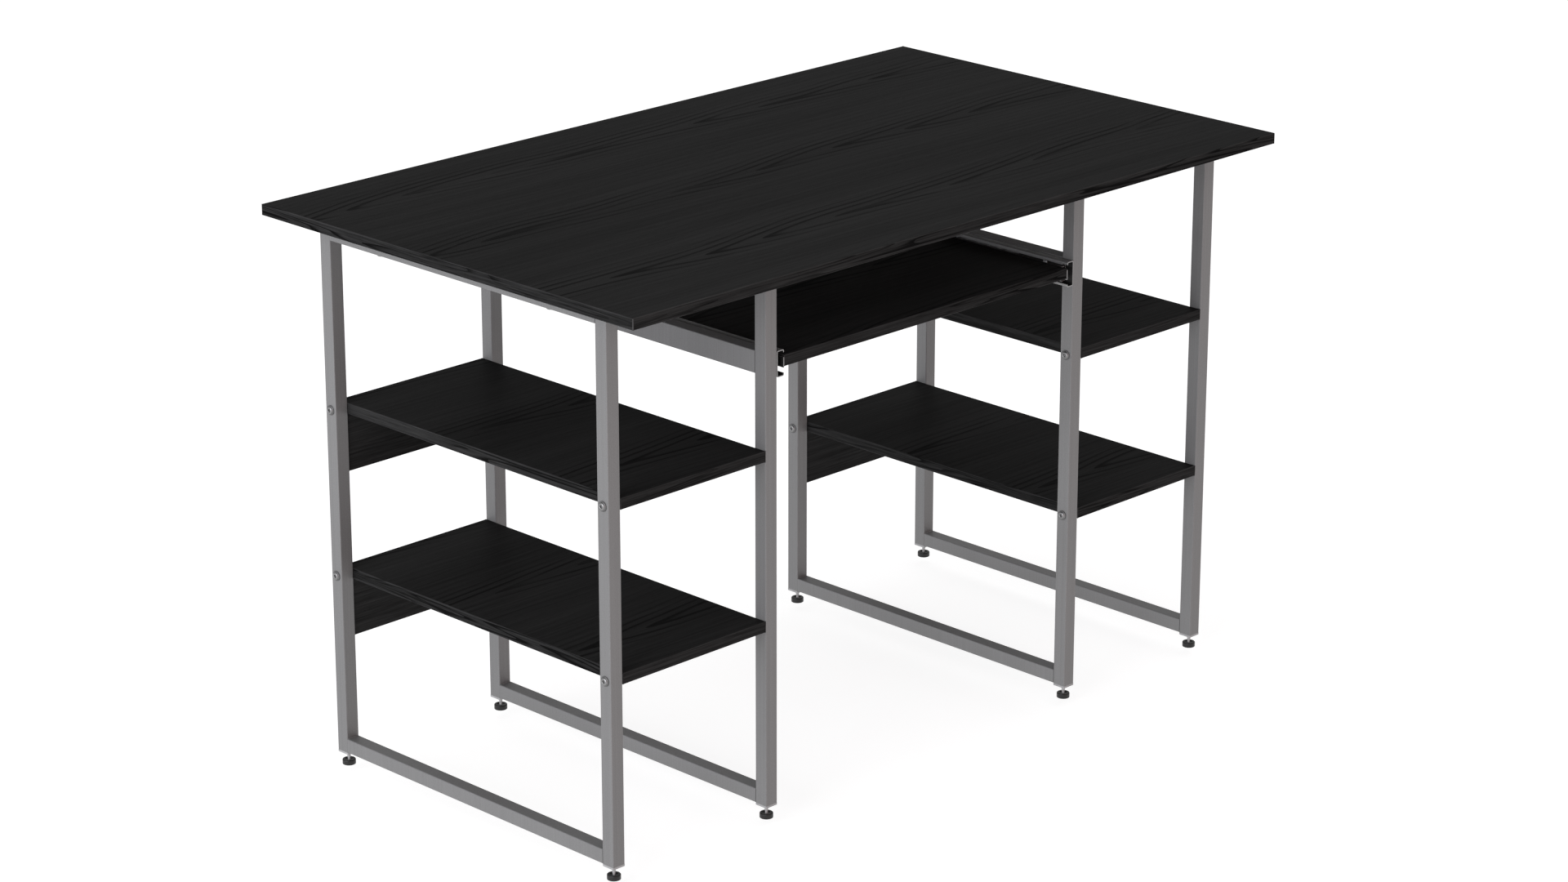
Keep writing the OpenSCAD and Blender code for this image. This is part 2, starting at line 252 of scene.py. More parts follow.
def arched_rings(g, axis):
    """Growth rings of flat-sawn boards, as a value that is 1 at each dark line. They are narrow
    arches, one inside another, in rows that run along the grain."""
    place = g.nodes.new("ShaderNodeSeparateXYZ")
    g.set(place, "Vector", g.place)
    run = place.outputs[axis]
    across = g.math("ADD", *[place.outputs[i] for i in range(3) if i != axis])
    row_place = g.math("MULTIPLY_ADD", across, 1 / FIGURE_PITCH, FIGURE_SHIFT)
    row = g.math("FLOOR", row_place)
    from_row = g.math("MULTIPLY", g.math("SUBTRACT", g.math("FRACT", row_place), 0.5), FIGURE_PITCH)
    wander = g.row_noise(run, row, 2.3, 5.3, 1.0)
    hills = g.row_noise(run, row, 1.5, 1.7, 0.0)
    off_row = g.math("MULTIPLY_ADD", wander, FIGURE_WANDER, -FIGURE_WANDER / 2)
    off = g.math("SUBTRACT", from_row, off_row)
    arch = g.math("SQRT", g.math("MULTIPLY_ADD", off, off, ARCH_TIP_R ** 2))
    tips = g.math("MULTIPLY_ADD", run, RINGS_ALONG, g.math("MULTIPLY", hills, HILL_RINGS))
    rings = g.math("SUBTRACT", tips, g.math("MULTIPLY", arch, RINGS_ACROSS))
    line = g.spread(g.math("FRACT", rings), *DARK_PART, 1.0, 0.0)
    above = g.spread(off, *FADE_ABOVE, 1.0, FAINT)
    below = g.spread(off, *FADE_BELOW, FAINT, 1.0)
    patchy = g.spread(g.noise(along(axis, 3.0, 30.0), shift=(4, 4, 4)), 0.36, 0.5, 0.3, 1.0)
    return g.math("MULTIPLY", line, g.math("MULTIPLY", patchy, g.math("MULTIPLY", above, below)))


def edge_veins(g, axis):
    """Long veins that cross an edge band at a slant, as a value that is 1 at each dark line."""
    hills = g.noise(along(axis, 2.5, 60.0), detail=1.2, roughness=0.35, distortion=0.25)
    ring = g.math("FRACT", g.math("MULTIPLY", hills, 11.0))
    patchy = g.spread(g.noise(along(axis, 2.0, 8.0), shift=(4, 4, 4)), 0.40, 0.62, 0.1, 1.0)
    return g.math("MULTIPLY", g.spread(ring, 0.0, 0.45, 1.0, 0.0), patchy)


def woodgrain(name, axis, level, figure, contrast=1.0):
    """Black printed woodgrain: the figure's dark lines, soft bands, streaks, fibres and pores."""
    g = Graph(name, roughness=0.5, specular=0.008)
    dark_line = figure(g, axis)
    band = g.noise(along(axis, 0.7, 11.0), detail=3.0, roughness=0.6, shift=(3, 7, 1))
    streak = g.noise(along(axis, 2.5, 260.0), detail=4.0, roughness=0.65, shift=(1, 2, 5))
    fibre = g.noise(along(axis, 16.0, 700.0), detail=2.0, roughness=0.6, shift=(8, 1, 2))
    pore = g.spread(g.noise(along(axis, 70.0, 1500.0), detail=1.0, shift=(2, 5, 9)), 0.64, 0.74)
    tone = g.mix([
        (dark_line, -0.7, 0.06), (band, 0.6, 0.5), (streak, 0.75, 0.5), (fibre, 1.0, 0.5),
        (pore, -0.2, 0.0),
    ], contrast)
    shades = ((0.0, 0.22), (0.5, 1.0), (1.0, 1.9))
    g.colour(g.ramp(tone, [(at, grey(share * level)) for at, share in shades]))
    g.roughness(g.spread(fibre, 0.3, 0.7, 0.44, 0.58))
    g.bump(g.math("SUBTRACT", g.math("ADD", fibre, streak), pore), 0.05 * MM, 0.5)
    return g.material


def silver_paint():
    """Silver-grey powder coat: fine metal flake, orange peel and a few faint handling marks."""
    g = Graph("silver_paint", roughness=0.5, metallic=0.25, specular=0.24)
    flake = g.noise((700, 700, 700), detail=3.0, roughness=0.75)
    cloud = g.noise((9, 9, 5), detail=3.0, roughness=0.5)
    draw = g.noise((420, 420, 2.2), detail=1.0, shift=(4, 1, 0))
    rub = g.spread(g.noise((38, 38, 14), detail=5.0, roughness=0.7, shift=(5, 5, 5)), 0.66, 0.76)
    tone = g.mix([(flake, 1.0, 0.5), (cloud, 0.35, 0.5), (draw, 0.3, 0.5), (rub, -0.1, 0.0)])
    g.colour(g.ramp(tone, [(0.0, grey(PAINT_LEVEL * 0.72)), (1.0, grey(PAINT_LEVEL * 1.28))]))
    g.roughness(g.spread(cloud, 0.3, 0.7, 0.46, 0.56))
    peel = g.noise((420, 420, 420), detail=2.0)
    g.bump(g.math("MULTIPLY_ADD", flake, 0.35, peel), 0.04 * MM, 0.5)
    return g.material


def plastic(name, level, roughness, tint=(1.0, 1.0, 1.0)):
    """Moulded plastic with a fine spark-eroded texture, flow marks and light scuffs."""
    g = Graph(name, roughness=roughness, specular=0.4)
    grain = g.noise((1800, 1800, 1800), detail=2.0)
    flow = g.noise((60, 60, 25), detail=3.0, roughness=0.6)
    scuff = g.spread(g.noise((260, 260, 40), detail=4.0, roughness=0.7, shift=(3, 3, 3)), 0.6, 0.75)
    tone = g.math("MULTIPLY_ADD", scuff, 0.2, g.math("MULTIPLY_ADD", grain, 0.3, flow))
    g.colour(g.ramp(tone, [(0.3, grey(level * 0.82, tint)), (1.0, grey(level * 1.2, tint))]))
    g.roughness(g.spread(tone, 0.4, 1.0, roughness - 0.08, roughness + 0.12))
    g.bump(grain, 0.03 * MM, 0.5)
    return g.material


def plated_steel(name, level, roughness, metallic=1.0, tint=(1.0, 1.0, 1.0), axis=1):
    """Plated steel: drawn along one axis, with cloudy plating and small dull spots."""
    g = Graph(name, roughness=roughness, metallic=metallic, specular=0.5)
    drawn = g.noise(along(axis, 14.0, 1700.0), detail=3.0, roughness=0.6)
    cloud = g.noise((140, 140, 140), detail=4.0, roughness=0.6, shift=(1, 4, 2))
    spot = g.spread(g.noise((650, 650, 650), detail=2.0, shift=(7, 0, 1)), 0.66, 0.74)
    tone = g.math("MULTIPLY_ADD", drawn, 0.45, g.math("MULTIPLY", cloud, 0.55))
    tone = g.math("SUBTRACT", tone, g.math("MULTIPLY", spot, 0.14))
    g.colour(g.ramp(tone, [(0.3, grey(level * 0.8, tint)), (0.7, grey(level * 1.12, tint))]))
    g.roughness(g.spread(tone, 0.35, 0.65, roughness + 0.07, roughness - 0.05))
    g.bump(drawn, 0.02 * MM, 0.4)
    return g.material


def beech():
    """Turned beech for the dowels: straight grain with short dark flecks."""
    g = Graph("beech", roughness=0.6, specular=0.3)
    grain = g.noise((900, 900, 30), detail=3.0)
    fleck = g.spread(g.noise((1600, 1600, 220), detail=1.0, shift=(2, 2, 2)), 0.62, 0.72)
    tone = g.math("SUBTRACT", grain, g.math("MULTIPLY", fleck, 0.2))
    g.colour(g.ramp(tone, [(0.3, (0.42, 0.25, 0.13)), (0.7, (0.66, 0.45, 0.26))]))
    g.bump(grain, 0.05 * MM, 0.5)
    return g.material


def floor_material():
    """A plain pale floor, with a little light of its own so that shadows on it stay faint."""
    g = Graph("studio_floor", roughness=0.9, specular=0.0)
    g.set(g.shader, "Emission Color", (1.0, 1.0, 1.0, 1.0))
    g.set(g.shader, "Emission Strength", FLOOR_GLOW)
    g.set(g.shader, "Base Color", (*FLOOR_COLOUR, 1.0))
    return g.material


def make_materials():
    materials = {
        "wood": woodgrain("black_woodgrain", 0, WOOD_LEVEL, arched_rings),
        # A lighter copy of the woodgrain for the shaded tray and back panels: painted light.
        "inner_wood": woodgrain("inner_woodgrain", 0, SHADE_LIFTED_WOOD_LEVEL, arched_rings),
        # The top's corners, lighter: a painted highlight.
        "corner": woodgrain("band_corner_highlight", 2, CORNER_HIGHLIGHT_LEVEL, edge_veins),
    }
    for axis, letter in enumerate("xyz"):
        materials["band_" + letter] = woodgrain(
            "edge_band_" + letter, axis, BAND_LEVEL, edge_veins, contrast=1.5)
        # Lighter arris woodgrain: painted highlights on the bands' rounded edges.
        materials["arris_" + letter] = woodgrain(
            "band_arris_" + letter, axis, ARRIS_HIGHLIGHT_LEVEL, edge_veins)
    materials.update({
        "silver_paint": silver_paint(),
        "cap_plastic": plastic("cap_plastic", 0.30, 0.5, (1.0, 1.0, 1.01)),
        "pad_plastic": plastic("pad_plastic", 0.006, 0.42),
        "foot_steel": plated_steel("foot_steel", 0.60, 0.32, metallic=0.35, axis=2),
        "slide_steel": plated_steel("slide_steel", 0.24, 0.42, metallic=0.6, axis=1),
        # Lighter steel for cut faces, partly bare cut steel and partly a painted highlight. The ball
        # cages reuse it.
        "cut_and_highlight_steel": plated_steel("slide_cut_and_highlight_steel", 0.30, 0.40, metallic=0.7, axis=1),
        # Near-black steel for the faces inside the slides' channels: painted shade.
        "channel_shade_steel": plated_steel("slide_channel_shade_steel", 0.012, 0.5, metallic=0.1, axis=1),
        "screw_steel": plated_steel("screw_steel", 0.24, 0.36, metallic=0.9, axis=0),
        # A darker steel for the screws' flanges: painted shade for the dark ring round each head.
        "flange_shade_steel": plated_steel("screw_flange_shade_steel", 0.085, 0.5, metallic=0.2, axis=0),
        "beech": beech(),
    })
    return materials


# ------------------------------------------------------------------- pieces


def add_piece(name, mesh, body, materials, replaces=()):
    """Puts a mesh in the scene as a piece that rides on a body and stands for CAD nodes."""
    piece = bpy.data.objects.new(name, mesh)
    bpy.context.scene.collection.objects.link(piece)
    for material in materials:
        mesh.materials.append(material)
    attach(piece, body)
    if replaces:
        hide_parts(*replaces)
    return piece


def finish_mesh(bm, name, smooth_angle=math.radians(40)):
    """Turns a bmesh into a mesh that is smooth over its rounded edges only."""
    bmesh.ops.recalc_face_normals(bm, faces=bm.faces)
    for edge in bm.edges:
        edge.smooth = edge.calc_face_angle(math.pi) < smooth_angle
    for face in bm.faces:
        face.smooth = True
    mesh = bpy.data.meshes.new(name)
    bm.to_mesh(mesh)
    bm.free()
    return mesh


def keep_flats_flat(piece):
    """Weights a piece's normals by face area, so that only its rounded edges look round."""
    modifier = piece.modifiers.new("flat_faces", "WEIGHTED_NORMAL")
    modifier.keep_sharp = True
    modifier.weight = 100


def add_box(bm, low, high, material_index=0):
    """Adds a box to a bmesh and returns its vertices."""
    low = Vector(low)
    high = Vector(high)
    middle = Matrix.Translation((low + high) / 2)
    size = Matrix.Diagonal((*(high - low), 1.0))
    made = bmesh.ops.create_cube(bm, size=1.0, matrix=middle @ size)
    for face in faces_of(made["verts"]):
        face.material_index = material_index
    return made["verts"]


def bevel_edges(bm, edges, width, segments):
    bmesh.ops.bevel(
        bm, geom=edges, offset=width, offset_type="OFFSET", segments=segments,
        profile=0.5, affect="EDGES", clamp_overlap=True,
    )


def edges_of(vertices):
    """The vertices' edges, each once and in a fixed order."""
    return list(dict.fromkeys(e for v in vertices for e in v.link_edges))


def faces_of(vertices):
    return list(dict.fromkeys(f for v in vertices for f in v.link_faces))


def add_band(bm, low, high, axis, outward, round_ends, material_index):
    """Adds one edge band, its outer arrises rounded. axis is the one it faces along. Its ends, if
    they are rounded too, are the board's corners."""
    vertices = add_box(bm, low, high, material_index)
    face_at = high[axis] if outward > 0 else low[axis]
    thin = min(range(3), key=lambda i: abs(high[i] - low[i]) if i != axis else math.inf)
    outer = []
    for edge in edges_of(vertices):
        on_face = all(abs(v.co[axis] - face_at) < TINY for v in edge.verts)
        runs_across = abs(edge.verts[0].co[thin] - edge.verts[1].co[thin]) > TINY
        if on_face and (round_ends or not runs_across):
            outer.append(edge)
    others = set(bm.faces) - set(faces_of(vertices))
    bevel_edges(bm, outer, BAND_ARRIS, 4)
    for face in set(bm.faces) - others:
        face.normal_update()
        is_rounded = max(abs(part) for part in face.normal) < 0.999
        is_upright = abs(face.normal[thin]) < 0.001
        # Rounded faces take the lighter arris or corner material: painted highlights.
        if is_rounded and is_upright and round_ends:
            face.material_index = CORNER_HIGHLIGHT_SLOT
        elif is_rounded:
            face.material_index = material_index + ARRIS_HIGHLIGHT_SLOT


def make_board(node, body, materials, name, wood):
    """A laminated board: its core, and its four edge bands with the grain along each."""
    low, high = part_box(node)
    size = high - low
    thin = min(range(3), key=lambda i: size[i])
    first, second = [i for i in range(3) if i != thin]
    inset = Vector([0 if i == thin else BAND_T for i in range(3)])

    bm = bmesh.new()
    vertices = add_box(bm, low + inset, high - inset)
    bevel_edges(bm, edges_of(vertices), CORE_ARRIS, 1)
    core = add_piece(name, finish_mesh(bm, name), body,
                     [materials[wood]], [node])
    keep_flats_flat(core)

    bm = bmesh.new()
    for axis, other, round_ends, index in ((first, second, True, 1), (second, first, False, 0)):
        for outward in (-1, 1):
            band_low = low.copy()
            band_high = high.copy()
            if outward > 0:
                band_low[axis] = high[axis] - BAND_T
            else:
                band_high[axis] = low[axis] + BAND_T
            if not round_ends:
                band_low[other] += BAND_T
                band_high[other] -= BAND_T
            add_band(bm, band_low, band_high, axis, outward, round_ends, index)
    letters = ("xyz"[first], "xyz"[second])
    dressed = [materials[kind + letter] for kind in ("band_", "arris_") for letter in letters]
    # Corners: the top's own lighter material, or the arris one on other boards. Both are painted
    # highlights.
    dressed.append(materials["corner" if node == "tabletop" else "arris_z"])
    bands = add_piece(name + "_edge_bands", finish_mesh(bm, name + "_edge_bands"), body,
                      dressed)
    keep_flats_flat(bands)


def make_boards(materials):
    make_board("tabletop", "root", materials, "tabletop_board", "wood")
    # The tray and the back panels take the lighter woodgrain: painted light in their shade.
    make_board("keyboard_tray", "keyboard_tray", materials, "keyboard_tray_board", "inner_wood")
    for side in SIDES:
        for level in LEVELS:
            for part, wood in (("shelf", "wood"), ("back_panel", "inner_wood")):
                node = f"{side}_{level}_{part}"
                make_board(node, "root", materials, node + "_board", wood)


def add_weld_bead(bm, x_from, x_to, y, z):
    """Adds a rippled bead that runs along X in the corner at y, z."""
    sides = 10
    steps_per_ripple = 6
    rings = round((x_to - x_from) / BEAD_PITCH) * steps_per_ripple
    last = None
    first = None
    end_size = 0.35
    for i in range(rings + 1):
        share = i / rings
        ripple = (i % steps_per_ripple) / steps_per_ripple
        grown = math.sqrt(max(0.0, min(1.0, 4 * share, 4 * (1 - share))))
        taper = end_size + (1 - end_size) * grown
        radius = BEAD_R * taper * (1 - BEAD_RIPPLE * ripple)
        x = x_from + share * (x_to - x_from)
        ring = []
        for k in range(sides):
            turn = 2 * math.pi * k / sides
            ring.append(bm.verts.new((x, y + radius * math.cos(turn), z + radius * math.sin(turn))))
        if last:
            for k in range(sides):
                bm.faces.new((last[k], last[(k + 1) % sides], ring[(k + 1) % sides], ring[k]))
        else:
            first = ring
        last = ring
    bm.faces.new(first)
    bm.faces.new(list(reversed(last)))


def make_welds(materials):
    """The beads above and below each rail, where it meets its two posts."""
    for frame_name in FRAMES:
        rails = {f"{frame_name}_bottom_rail": ("low", "high"), f"{frame_name}_top_rail": ("low",)}
        if frame_name.endswith("inner"):
            rails[frame_name.split("_")[0] + "_tray_rail"] = ("low", "high")
        bm = bmesh.new()
        for rail, faces in rails.items():
            low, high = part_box(rail)
            for face in faces:
                z = low.z if face == "low" else high.z
                for y in (low.y, high.y):
                    add_weld_bead(bm, low.x + BEAD_INSET, high.x - BEAD_INSET, y, z)
        name = frame_name + "_weld_beads"
        add_piece(name, finish_mesh(bm, name, math.radians(60)), "root",
                  [materials["silver_paint"]])


def lathe(bm, profile, place, segments=64):
    """Spins a profile of (radius, height) round the Z axis of place. A third number gives a ring
    that many flat sides, and its radius is then that of the circle inside them."""
    rings = []
    for radius, height, *sides in profile:
        if radius < TINY:
            rings.append([bm.verts.new(place @ Vector((0, 0, height)))])
            continue
        ring = []
        for k in range(segments):
            turn = 2 * math.pi * k / segments
            reach = radius
            if sides:
                half_side = math.pi / sides[0]
                reach = radius / math.cos(turn % (2 * half_side) - half_side)
            point = Vector((reach * math.cos(turn), reach * math.sin(turn), height))
            ring.append(bm.verts.new(place @ point))
        rings.append(ring)
    for a, b in zip(rings, rings[1:]):
        for k in range(segments):
            n = (k + 1) % segments
            around = [a[k % len(a)], a[n % len(a)], b[n % len(b)], b[k % len(b)]]
            unique = list(dict.fromkeys(around))
            if len(unique) > 2:
                bm.faces.new(unique)


def arc(centre, radius, start, end, steps):
    """Points on an arc, in degrees, as (radius, height) pairs."""
    points = []
    for i in range(steps + 1):
        turn = math.radians(start + (end - start) * i / steps)
        points.append((centre[0] + radius * math.cos(turn), centre[1] + radius * math.sin(turn)))
    return points


def make_foot_pad(node, body, materials):
    """A moulded pad with rounded edges and a dish round its stem."""
    low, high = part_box(node)
    centre = (low + high) / 2
    outer = (high.x - low.x) / 2
    top = high.z
    base_r = 0.6 * MM
    rim_r = 1.3 * MM
    dish_r = 5.4 * MM
    dish_deep = 1.2 * MM
    lip_r = 0.4 * MM
    hollow_r = 0.8 * MM
    neck_r = 1.78 * MM
    neck_low = low.z + 3.0 * MM
    profile = [(0, low.z)]
    profile += arc((outer - base_r, low.z + base_r), base_r, -90, 0, 4)
    profile += arc((outer - rim_r, top - rim_r), rim_r, 0, 90, 8)
    profile += arc((dish_r + lip_r, top - lip_r), lip_r, 90, 180, 4)
    profile += arc((dish_r - hollow_r, top - dish_deep + hollow_r), hollow_r, 0, -90, 4)
    profile += [(neck_r, top - dish_deep), (neck_r, neck_low), (0, neck_low)]
    bm = bmesh.new()
    lathe(bm, profile, Matrix.Translation((centre.x, centre.y, 0)))
    name = node + "_moulded"
    add_piece(name, finish_mesh(bm, name), body, [materials["pad_plastic"]], [node])


def add_thread(bm, place, radius, low, high, segments=32, per_turn=4):
    """Adds a threaded rod along the Z axis of place: a helical surface of crests and roots."""
    heights = round((high - low) / THREAD_PITCH * per_turn)
    rings = []
    for i in range(heights + 1):
        ring = []
        for k in range(segments):
            turn = 2 * math.pi * k / segments
            z = low + (high - low) * i / heights
            phase = (z / THREAD_PITCH - k / segments) % 1.0
            crest = abs(2 * phase - 1)
            fade = min(1.0, (high - z) / THREAD_PITCH, (z - low) / THREAD_PITCH)
            r = radius - THREAD_DEPTH * (1 - crest * fade)
            ring.append(bm.verts.new(place @ Vector((r * math.cos(turn), r * math.sin(turn), z))))
        rings.append(ring)
    for a, b in zip(rings, rings[1:]):
        for k in range(segments):
            n = (k + 1) % segments
            bm.faces.new((a[k], a[n], b[n], b[k]))
    bm.faces.new(list(reversed(rings[0])))
    bm.faces.new(rings[-1])


def make_foot_stem(node, body, materials):
    """A plated stem: a disc in the pad, a neck, a cone with a collar, and a thread into the cap."""
    low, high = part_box(node)
    centre = (low + high) / 2
    radius = 2.95 * MM
    sole_r = 3.6 * MM
    disc_r = 3.5 * MM
    disc_edge = 0.5 * MM
    disc_high = low.z + 1.5 * MM
    neck = 1.7 * MM
    neck_flare = 0.25 * MM
    cone_low = low.z + 6.5 * MM
    cone_high = low.z + 13.0 * MM
    collar = 0.9 * MM
    collar_step = 0.2 * MM
    overlap = 0.05 * MM
    profile = [(0, low.z), (sole_r, low.z)]
    profile += arc((disc_r, low.z + disc_edge), disc_edge, -90, 90, 6)
    profile += [(neck, disc_high), (neck, cone_low)]
    profile += [(neck + neck_flare, cone_low + 0.15 * MM)]
    profile += [(radius - collar_step, cone_high - collar)]
    profile += [(radius, cone_high - collar + 0.25 * MM), (radius, cone_high), (0, cone_high)]
    bm = bmesh.new()
    place = Matrix.Translation((centre.x, centre.y, 0))
    lathe(bm, profile, place, 48)
    add_thread(bm, place, radius, cone_high - overlap, high.z)
    name = node + "_threaded"
    add_piece(name, finish_mesh(bm, name, math.radians(50)), body,
              [materials["foot_steel"]], [node])


def make_feet(materials):
    for frame_name in FRAMES:
        for end in ENDS:
            foot = f"{frame_name}_{end}_foot"
            make_foot_pad(foot + "_pad", foot, materials)
            make_foot_stem(foot + "_stem", foot, materials)


def make_end_caps(materials):
    """The caps in the posts' feet: a rounded flange, and a rounded plug inside the tube."""
    flange_t = 3.0 * MM
    plug_h = 14.0 * MM
    plug_gap = 1.6 * MM
    flange_r = 0.9 * MM
    edge_r = 0.5 * MM
    plug_r = 0.8 * MM
    own_reach = 50 * MM  # further than a cap is wide, and nearer than the next cap
    bm = bmesh.new()
    for frame_name in FRAMES:
        for end in ENDS:
            low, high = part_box(f"{frame_name}_{end}_post")
            vertices = add_box(bm, (low.x, low.y, low.z - flange_t), (high.x, high.y, low.z))
            upright = [e for e in edges_of(vertices)
                       if abs(e.verts[0].co.z - e.verts[1].co.z) > TINY]
            bevel_edges(bm, upright, flange_r, 4)
            lower = [
                e for e in bm.edges
                if all(abs(v.co.z - low.z + flange_t) < TINY for v in e.verts)
                and (e.verts[0].co.xy - low.xy).length < own_reach
            ]
            bevel_edges(bm, lower, edge_r, 3)
            plug = add_box(
                bm,
                (low.x + plug_gap, low.y + plug_gap, low.z),
                (high.x - plug_gap, high.y - plug_gap, low.z + plug_h),
            )
            bevel_edges(bm, edges_of(plug), plug_r, 2)
    name = "post_end_caps_moulded"
    piece = add_piece(name, finish_mesh(bm, name), "root",
                      [materials["cap_plastic"]], ["post_end_caps"])
    keep_flats_flat(piece)


def add_m6_screw(bm, seat, inward, length):
    """Adds a flanged button-head screw whose head sits at the point seat."""
    turn_to = (-Vector(inward)).to_track_quat("Z", "Y").to_matrix().to_4x4()
    place = Matrix.Translation(seat) @ turn_to
    fillet = 0.5 * MM
    rim = 0.35 * MM
    chamfer = 0.3 * MM
    crown_r = 3.1 * MM
    dent = 0.4 * MM
    bevel = 0.15 * MM
    neck_l = 2.0 * MM
    floor_h = SCREW_HEAD_H - SCREW_SOCKET_DEPTH
    profile = [(0, floor_h - dent), (SCREW_SOCKET_R, floor_h, 6)]
    profile += [(SCREW_SOCKET_R, SCREW_HEAD_H - chamfer, 6)]
    profile += [(SCREW_SOCKET_R + 2 * chamfer, SCREW_HEAD_H)]
    dome_foot = SCREW_FLANGE_T + fillet
    for i in range(9):
        turn = math.pi / 2 * i / 8
        profile.append((
            crown_r + (SCREW_DOME_R - crown_r) * math.sin(turn),
            dome_foot + (SCREW_HEAD_H - dome_foot) * math.cos(turn),
        ))
    profile += arc((SCREW_DOME_R + fillet, dome_foot), fillet, 180, 270, 4)[1:]
    profile += arc((SCREW_FLANGE_R - rim, SCREW_FLANGE_T - rim), rim, 90, 0, 4)
    profile += [(SCREW_FLANGE_R, bevel), (SCREW_FLANGE_R - bevel, 0), (SCREW_SHANK_R, 0)]
    profile += [(SCREW_SHANK_R, -neck_l), (0, -neck_l)]
    before = set(bm.faces)
    lathe(bm, profile, place, 48)
    # Faces beyond the dome take the darker flange steel: painted shade.
    for face in set(bm.faces) - before:
        out = place.inverted() @ face.calc_center_median()
        if out.xy.length > SCREW_DOME_R + fillet / 2:
            face.material_index = FLANGE_SHADE_SLOT
    overlap = 0.05 * MM
    add_thread(bm, place, SCREW_SHANK_R, -length, overlap - neck_l, segments=16, per_turn=3)


def make_m6_screws(materials):
    """The screws through the posts into the shelves, and up through the rails into the top."""
    steels = [materials["screw_steel"], materials["flange_shade_steel"]]
    bm = bmesh.new()
    for frame_name in FRAMES:
        inward = 1 if frame_name in ("left_outer", "right_inner") else -1
        side = frame_name.split("_")[0]
        for level in LEVELS:
            shelf_low, shelf_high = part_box(f"{side}_{level}_shelf")
            z = (shelf_low.z + shelf_high.z) / 2
            for end in ENDS:
                low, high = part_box(f"{frame_name}_{end}_post")
                x = low.x if inward > 0 else high.x
                add_m6_screw(bm, (x, (low.y + high.y) / 2, z), (inward, 0, 0), SHELF_SCREW_L)
    add_piece("shelf_screws_turned", finish_mesh(bm, "shelf_screws_turned"), "root",
              steels, ["shelf_screws"])

    bm = bmesh.new()
    screws_low, screws_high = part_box("tabletop_screws")
    for frame_name in FRAMES:
        low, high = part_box(f"{frame_name}_top_rail")
        for y in (screws_low.y + SCREW_FLANGE_R, screws_high.y - SCREW_FLANGE_R):
            seat = ((low.x + high.x) / 2, y, low.z)
            add_m6_screw(bm, seat, (0, 0, 1), screws_high.z - low.z)
    add_piece("tabletop_screws_turned", finish_mesh(bm, "tabletop_screws_turned"), "root",
              steels, ["tabletop_screws"])


def bent_edges(path):
    """The two edges of a strip of sheet bent along a path, with its corners rounded."""
    path = [Vector(point) for point in path]
    centre_r = SHEET_BEND_R + SHEET_T / 2
    edges = ([], [])

    def put(point, direction):
        normal = Vector((-direction.y, direction.x)) * SHEET_T / 2
        edges[0].append(point + normal)
        edges[1].append(point - normal)

    put(path[0], (path[1] - path[0]).normalized())
    for before, corner, after in zip(path, path[1:], path[2:]):
        ahead = (corner - before).normalized()
        onward = (after - corner).normalized()
        turn = 1 if ahead.x * onward.y - ahead.y * onward.x > 0 else -1
        centre = corner - ahead * centre_r + turn * centre_r * Vector((-ahead.y, ahead.x))
        for i in range(7):
            angle = turn * math.pi / 2 * i / 6
            heading = Matrix.Rotation(angle, 2) @ ahead
            put(centre - turn * centre_r * Vector((-heading.y, heading.x)), heading)
    put(path[-1], (path[-1] - path[-2]).normalized())
    return edges


def add_bent_strip(bm, path, y_from, y_to, place):
    """Adds a strip of sheet from y_from to y_to, bent along a path of (across, up) points. The channel
    that it forms lies to the left of the path, and its faces there are near black: painted shade."""
    rings = []
    for y in (y_from, y_to):
        rings.append([[bm.verts.new(place(u, y, v)) for u, v in edge] for edge in bent_edges(path)])
    (left_a, right_a), (left_b, right_b) = rings

    def add_face(vertices, slot):
        bm.faces.new(vertices).material_index = slot

    for i in range(len(left_a) - 1):
        n = i + 1
        # Faces inside the channel are near black: painted shade.
        add_face((left_a[i], left_a[n], left_b[n], left_b[i]), CHANNEL_SHADE_SLOT)
        add_face((right_a[n], right_a[i], right_b[i], right_b[n]), 0)
        # Cut faces take the lighter steel: bare cut steel and a painted highlight.
        add_face((left_a[n], left_a[i], right_a[i], right_a[n]), CUT_AND_HIGHLIGHT_SLOT)
        add_face((left_b[i], left_b[n], right_b[n], right_b[i]), CUT_AND_HIGHLIGHT_SLOT)
    for i in (0, -1):
        add_face((left_a[i], left_b[i], right_b[i], right_a[i]), CUT_AND_HIGHLIGHT_SLOT)


def drill(piece, centres, radius):
    """Cuts round holes along X through a piece, and leaves no modifier behind."""
    bm = bmesh.new()
    for centre in centres:
        along_x = Matrix.Rotation(math.pi / 2, 4, "Y")
        bmesh.ops.create_cone(
            bm, cap_ends=True, segments=32, radius1=radius, radius2=radius, depth=6 * MM,
            matrix=Matrix.Translation(centre) @ along_x,
        )
    mesh = bpy.data.meshes.new("drill")
    bm.to_mesh(mesh)
    bm.free()
    cutter = bpy.data.objects.new("drill", mesh)
    bpy.context.scene.collection.objects.link(cutter)
    cut = piece.modifiers.new("drill", "BOOLEAN")
    cut.operation = "DIFFERENCE"
    cut.solver = "EXACT"
    cut.object = cutter
    bpy.context.view_layer.update()
    drilled = bpy.data.meshes.new_from_object(
        piece.evaluated_get(bpy.context.evaluated_depsgraph_get()))
    piece.modifiers.clear()
    drilled.name = piece.data.name
    piece.data = drilled
    bpy.data.objects.remove(cutter)


